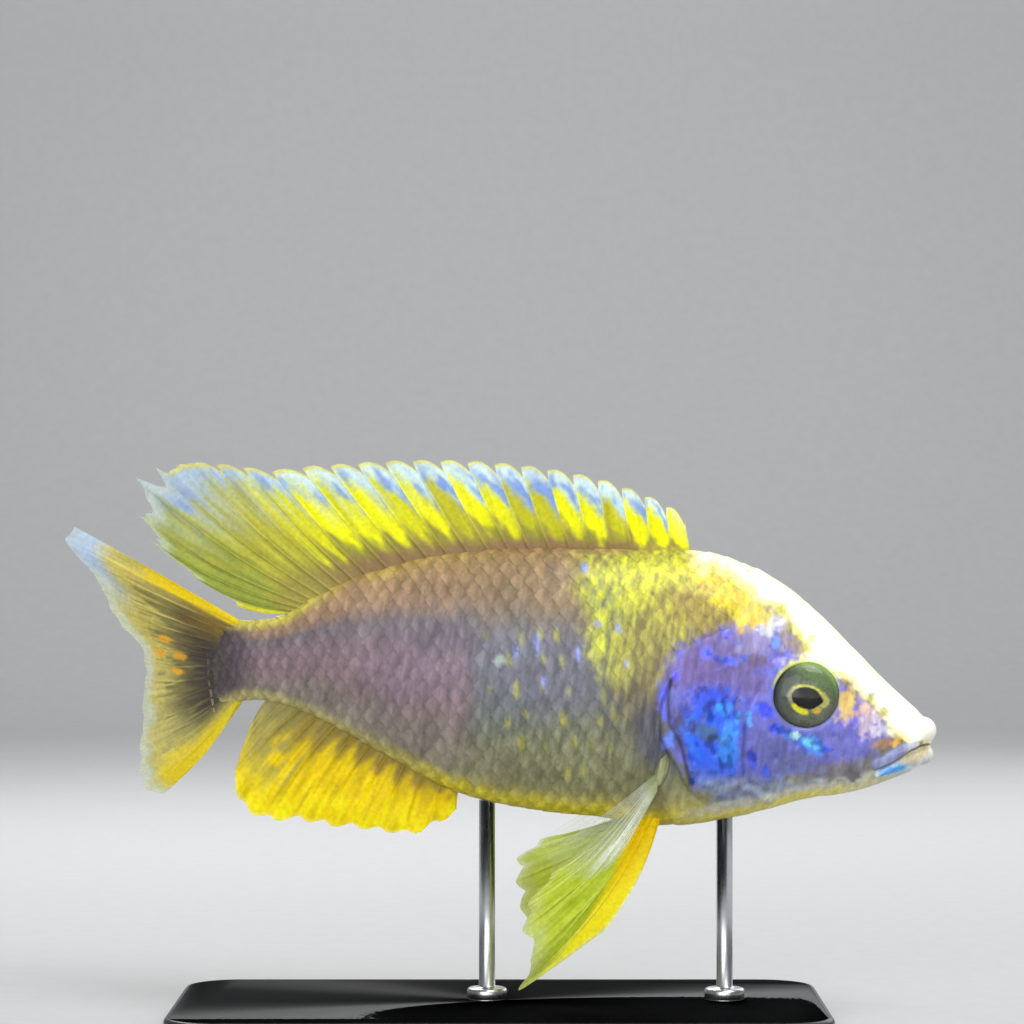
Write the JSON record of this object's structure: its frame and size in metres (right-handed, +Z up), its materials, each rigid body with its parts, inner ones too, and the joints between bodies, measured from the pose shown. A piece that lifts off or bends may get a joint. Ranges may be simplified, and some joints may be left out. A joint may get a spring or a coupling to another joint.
{
  "type": "peacock cichlid",
  "caption": "Life-size still model of a male peacock cichlid in a swimming pose, fins spread, held by a plain display stand.",
  "frame": {"origin": "on the floor, at the centre of the underside of the stand's base", "axes": "+X the way the fish faces, +Y to its left side, +Z up"},
  "size_m": [0.1424, 0.056, 0.0902],
  "materials": {
    "head_skin": "violet-blue scaled skin with a pale yellow blaze from the upper lip to the dorsal fin",
    "jaw_skin": "pale blue lip with a brighter blue stripe",
    "gill_cover_skin": "metallic electric blue spots on dark violet",
    "flank_skin": "overlapping scales, yellow on the shoulder, brown on the back, blue-grey on the flank",
    "tail_stalk_skin": "small overlapping scales, mauve to brown",
    "eye": "wet clear cornea over a dark green iris with a golden ring and a black pupil",
    "dorsal_fin": "thin membrane on rays, yellow with a pale blue outer band",
    "anal_fin": "thin membrane on rays, bright yellow, dusky at the root",
    "tail_fin": "thin membrane on rays, olive yellow with dark streaks and a pale blue upper tip",
    "pelvic_fin": "thin membrane on rays, orange-yellow with a pale leading edge",
    "pectoral_fin": "clear colourless membrane on fine rays, with a yellow-green fleshy base",
    "stand_base": "satin black sheet with eased edges",
    "stand_rod": "brushed round bar"
  },
  "bodies": {
    "root": {"head": "head_skin", "lower_jaw": "jaw_skin", "gill_cover_right": "gill_cover_skin", "gill_cover_left": "gill_cover_skin", "trunk": "flank_skin", "tail_stalk": "tail_stalk_skin", "eye_right": "eye", "eye_left": "eye", "dorsal_fin": "dorsal_fin", "anal_fin": "anal_fin", "caudal_fin": "tail_fin", "pelvic_fin_right": "pelvic_fin", "pelvic_fin_left": "pelvic_fin", "pectoral_fin_right": "pectoral_fin", "pectoral_fin_left": "pectoral_fin", "stand_base": "stand_base", "stand_rod_front": "stand_rod", "stand_rod_rear": "stand_rod"}
  },
  "joints": []
}
